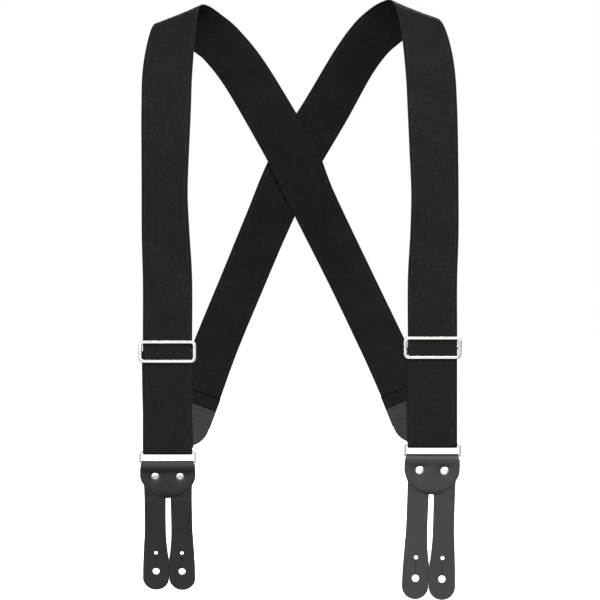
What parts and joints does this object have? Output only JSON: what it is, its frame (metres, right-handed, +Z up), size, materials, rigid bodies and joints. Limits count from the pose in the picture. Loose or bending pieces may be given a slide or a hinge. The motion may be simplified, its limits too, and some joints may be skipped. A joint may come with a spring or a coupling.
{
  "type": "suspenders",
  "caption": "X-back trouser suspenders of wide black elastic webbing with metal slide adjusters, wire rings and riveted button-on leather ends.",
  "frame": {"origin": "midway between the tops of the two straps, where they pass over a wearer's shoulders", "axes": "+Z up, -Y towards the front (the straps with the slides), +X to the right as seen from the front"},
  "size_m": [0.3316, 0.2019, 0.6285],
  "materials": {
    "webbing": "matte ribbed elastic weave",
    "leather": "smooth with a low sheen",
    "nickel": "polished nickel",
    "rivet": "satin nickel",
    "thread": "matte"
  },
  "bodies": {
    "root": {"strap_left": "webbing", "strap_right": "webbing", "cross_stitch": "thread", "front_layer_left": "webbing", "front_layer_right": "webbing", "back_hem_left": "webbing", "back_hem_right": "webbing", "back_leather_left": "leather", "back_leather_right": "leather", "back_stitch_left": "thread", "back_stitch_right": "thread"},
    "turn_left": {"ring_fold_left": "webbing", "return_layer_left": "webbing"},
    "adjuster_left": {"bar_loop_left": "webbing", "loop_stitch_left": "thread", "slide_frame_left": "nickel", "slide_bar_left": "nickel"},
    "wire_left": {"ring_left": "nickel"},
    "tab_left": {"button_leather_left": "leather", "rivet_posts_left": "rivet", "rivet_caps_left": "rivet"},
    "turn_right": {"ring_fold_right": "webbing", "return_layer_right": "webbing"},
    "adjuster_right": {"bar_loop_right": "webbing", "loop_stitch_right": "thread", "slide_frame_right": "nickel", "slide_bar_right": "nickel"},
    "wire_right": {"ring_right": "nickel"},
    "tab_right": {"button_leather_right": "leather", "rivet_posts_right": "rivet", "rivet_caps_right": "rivet"}
  },
  "joints": [
    {"name": "shorten_left", "type": "slide", "parent": "root", "child": "turn_left", "axis": [0, 0, 1], "range_m": [-0.06, 0.03], "deforming": ["front_layer_left"]},
    {"name": "slide_travel_left", "type": "slide", "parent": "turn_left", "child": "adjuster_left", "axis": [0, 0, 1], "range_m": [-0.06, 0.03], "deforming": ["return_layer_left"]},
    {"name": "ring_pivot_left", "type": "hinge", "parent": "turn_left", "child": "wire_left", "pos_m": [-0.136, -0.0776, -0.462], "axis": [1, 0, 0], "range_deg": [-60, 60]},
    {"name": "tab_pivot_left", "type": "hinge", "parent": "wire_left", "child": "tab_left", "pos_m": [-0.136, -0.0776, -0.474], "axis": [1, 0, 0], "range_deg": [-96, 54]},
    {"name": "shorten_right", "type": "slide", "parent": "root", "child": "turn_right", "axis": [0, 0, 1], "range_m": [-0.06, 0.03], "deforming": ["front_layer_right"]},
    {"name": "slide_travel_right", "type": "slide", "parent": "turn_right", "child": "adjuster_right", "axis": [0, 0, 1], "range_m": [-0.06, 0.03], "deforming": ["return_layer_right"]},
    {"name": "ring_pivot_right", "type": "hinge", "parent": "turn_right", "child": "wire_right", "pos_m": [0.136, -0.0776, -0.455], "axis": [1, 0, 0], "range_deg": [-60, 60]},
    {"name": "tab_pivot_right", "type": "hinge", "parent": "wire_right", "child": "tab_right", "pos_m": [0.136, -0.0776, -0.467], "axis": [1, 0, 0], "range_deg": [-75, 75]}
  ],
  "couplings": [
    {"joint": "slide_travel_left", "follows": "shorten_left", "ratio": 1},
    {"joint": "slide_travel_right", "follows": "shorten_right", "ratio": 1}
  ]
}
